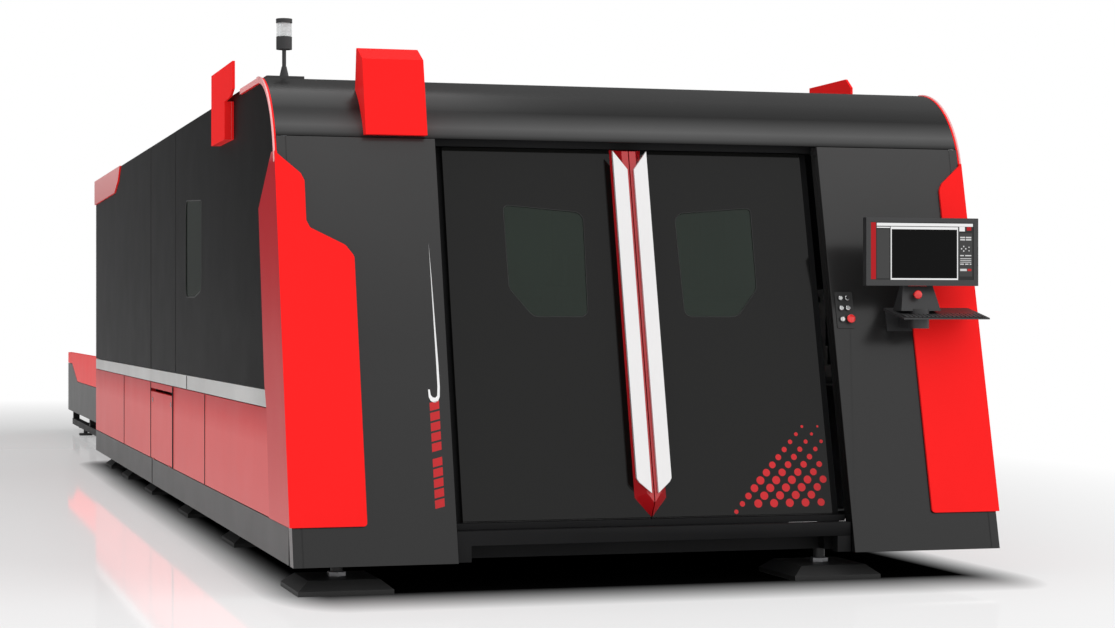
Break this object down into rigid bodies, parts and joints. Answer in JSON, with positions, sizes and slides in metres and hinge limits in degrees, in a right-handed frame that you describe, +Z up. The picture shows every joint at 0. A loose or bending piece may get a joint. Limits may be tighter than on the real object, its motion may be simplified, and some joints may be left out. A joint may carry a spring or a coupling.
{
  "type": "fiber laser cutting machine",
  "caption": "Enclosed fibre laser cutting machine: leaning front with sliding doors, moving gantry and cutting head inside, two-level pallet exchange table behind.",
  "frame": {"origin": "on the floor, under the middle of the whole object's box", "axes": "+Z up, +Y from the doors to the exchange table, +X to the right seen from the doors"},
  "size_m": [3.24, 15.26, 2.469],
  "materials": {
    "column_grey": "satin powder coat",
    "cover_black": "satin powder coat",
    "panel_black": "semi gloss paint",
    "window_glass": "dark green tinted, gloss",
    "strip_silver": "silver paint, satin",
    "panel_red": "gloss paint",
    "skirt_grey": "satin paint",
    "door_grey": "satin paint",
    "frame_grey": "satin paint",
    "cover_red": "gloss paint",
    "lamp_black": "matte",
    "lamp_clear": "clear ribbed",
    "bed_paint": "hammered grey paint",
    "rail_steel": "ground",
    "gantry_paint": "satin light grey paint",
    "motor_black": "satin",
    "slide_aluminium": "milled",
    "head_metal": "anodised",
    "pallet_paint": "satin grey paint",
    "slat_steel": "mill finish",
    "track_steel": "worn",
    "lift_paint": "satin grey paint",
    "pad_black": "matte",
    "button_plate": "matte",
    "button_chrome": "polished",
    "selector_white": "gloss",
    "stop_red": "gloss",
    "console_black": "satin",
    "door_black": "high gloss",
    "bar_silver": "satin anodised",
    "wedge_red": "gloss"
  },
  "bodies": {
    "machine": {"left_column": "column_grey", "right_column": "column_grey", "front_cover": "cover_black", "left_upper_panels": "panel_black", "right_upper_panels": "panel_black", "side_windows": "window_glass", "side_strips": "strip_silver", "lower_side_panels": "panel_red", "lower_skirts": "skirt_grey", "roof_panels": "panel_black", "rear_wall": "panel_black", "cabin_frame": "frame_grey", "door_header": "frame_grey", "front_sill": "frame_grey", "corner_covers": "cover_red", "badges": "cover_red", "lamp_post": "lamp_black", "lamp_lens": "lamp_clear", "bed_frame": "bed_paint", "y_rails": "rail_steel", "y_racks": "rail_steel", "pallet_tracks": "track_steel", "table_frame": "frame_grey", "table_covers": "cover_red", "floor_pads": "pad_black", "button_plate": "button_plate", "console_arm": "console_black"},
    "left_door": {"left_door_panel": "door_black", "left_door_window": "window_glass", "left_door_bar": "bar_silver", "left_door_wedge": "wedge_red"},
    "right_door": {"right_door_panel": "door_black", "right_door_window": "window_glass", "right_door_bar": "bar_silver", "right_door_wedge": "wedge_red"},
    "gantry": {"gantry_beam": "gantry_paint", "gantry_trucks": "gantry_paint", "gantry_motors": "motor_black", "cross_rails": "rail_steel"},
    "left_pinion": {"left_pinion": "rail_steel"},
    "right_pinion": {"right_pinion": "rail_steel"},
    "carriage": {"carriage": "gantry_paint"},
    "head": {"head_slide": "slide_aluminium", "cutting_head": "head_metal"},
    "inner_pallet": {"inner_pallet_frame": "pallet_paint", "inner_pallet_slats": "slat_steel"},
    "lift": {"lift_frame": "lift_paint"},
    "outer_pallet": {"outer_pallet_frame": "pallet_paint", "outer_pallet_slats": "slat_steel"},
    "rear_door": {"rear_door": "door_grey"},
    "access_door": {"access_door": "panel_red"},
    "console": {"console_tray": "console_black"},
    "monitor": {"monitor": "console_black"},
    "console_stop": {"console_stop": "stop_red"},
    "start_button": {"start_button": "button_chrome"},
    "hold_button": {"hold_button": "button_chrome"},
    "light_button": {"light_button": "button_chrome"},
    "reset_button": {"reset_button": "button_chrome"},
    "mode_selector": {"mode_selector": "selector_white"},
    "stop_button": {"stop_button": "stop_red"}
  },
  "joints": [
    {"name": "left_door_slide", "type": "slide", "parent": "machine", "child": "left_door", "axis": [-1, 0, 0], "range_m": [0, 0.64]},
    {"name": "right_door_slide", "type": "slide", "parent": "machine", "child": "right_door", "axis": [1, 0, 0], "range_m": [0, 0.64]},
    {"name": "gantry_travel", "type": "slide", "parent": "machine", "child": "gantry", "axis": [0, 1, 0], "range_m": [0, 6.69]},
    {"name": "left_pinion_turn", "type": "hinge", "parent": "gantry", "child": "left_pinion", "pos_m": [-1.182, -5.87, 0.837], "axis": [0, 0, 1], "range_deg": [-10, 8530]},
    {"name": "right_pinion_turn", "type": "hinge", "parent": "gantry", "child": "right_pinion", "pos_m": [1.182, -5.87, 0.837], "axis": [0, 0, 1], "range_deg": [-8530, 10]},
    {"name": "carriage_travel", "type": "slide", "parent": "gantry", "child": "carriage", "axis": [1, 0, 0], "range_m": [-0.96, 0.96]},
    {"name": "head_lowering", "type": "slide", "parent": "carriage", "child": "head", "axis": [0, 0, -1], "range_m": [0, 0.255]},
    {"name": "inner_pallet_out", "type": "slide", "parent": "machine", "child": "inner_pallet", "axis": [0, 1, 0], "range_m": [0, 7.25]},
    {"name": "lift_lowering", "type": "slide", "parent": "machine", "child": "lift", "axis": [0, 0, -1], "range_m": [0, 0.23]},
    {"name": "outer_pallet_in", "type": "slide", "parent": "lift", "child": "outer_pallet", "axis": [0, -1, 0], "range_m": [0, 7.25]},
    {"name": "rear_door_lowering", "type": "slide", "parent": "machine", "child": "rear_door", "axis": [0, 0, -1], "range_m": [0, 0.505]},
    {"name": "access_door_hinge", "type": "hinge", "parent": "machine", "child": "access_door", "pos_m": [-1.575, -2.9455, 0.28], "axis": [0, -1, 0], "range_deg": [0, 85]},
    {"name": "console_swivel", "type": "hinge", "parent": "machine", "child": "console", "pos_m": [1.24, -7.51, 1.154], "axis": [0, 0, 1], "range_deg": [-15, 3]},
    {"name": "monitor_tilt", "type": "hinge", "parent": "console", "child": "monitor", "pos_m": [1.24, -7.488, 1.31], "axis": [1, 0, 0], "range_deg": [-5, 12]},
    {"name": "console_stop_push", "type": "slide", "parent": "console", "child": "console_stop", "axis": [0, 1, 0], "range_m": [0, 0.004], "stiffness_N_per_m": 800, "springref_m": -0.002},
    {"name": "start_button_push", "type": "slide", "parent": "machine", "child": "start_button", "axis": [0, 0.9707, -0.2402], "range_m": [0, 0.004], "stiffness_N_per_m": 300, "springref_m": -0.002},
    {"name": "hold_button_push", "type": "slide", "parent": "machine", "child": "hold_button", "axis": [0, 0.9707, -0.2402], "range_m": [0, 0.004], "stiffness_N_per_m": 300, "springref_m": -0.002},
    {"name": "light_button_push", "type": "slide", "parent": "machine", "child": "light_button", "axis": [0, 0.9707, -0.2402], "range_m": [0, 0.004], "stiffness_N_per_m": 300, "springref_m": -0.002},
    {"name": "reset_button_push", "type": "slide", "parent": "machine", "child": "reset_button", "axis": [0, 0.9707, -0.2402], "range_m": [0, 0.004], "stiffness_N_per_m": 300, "springref_m": -0.002},
    {"name": "stop_button_push", "type": "slide", "parent": "machine", "child": "stop_button", "axis": [0, 0.9707, -0.2402], "range_m": [0, 0.004], "stiffness_N_per_m": 800, "springref_m": -0.002},
    {"name": "mode_selector_turn", "type": "hinge", "parent": "machine", "child": "mode_selector", "pos_m": [0.9265, -7.3798, 1.131], "axis": [0, -0.9707, 0.2402], "range_deg": [-45, 45]}
  ],
  "couplings": [
    {"joint": "left_pinion_turn", "follows": "gantry_travel", "rad_per_m": 22.222},
    {"joint": "right_pinion_turn", "follows": "gantry_travel", "rad_per_m": -22.222}
  ]
}
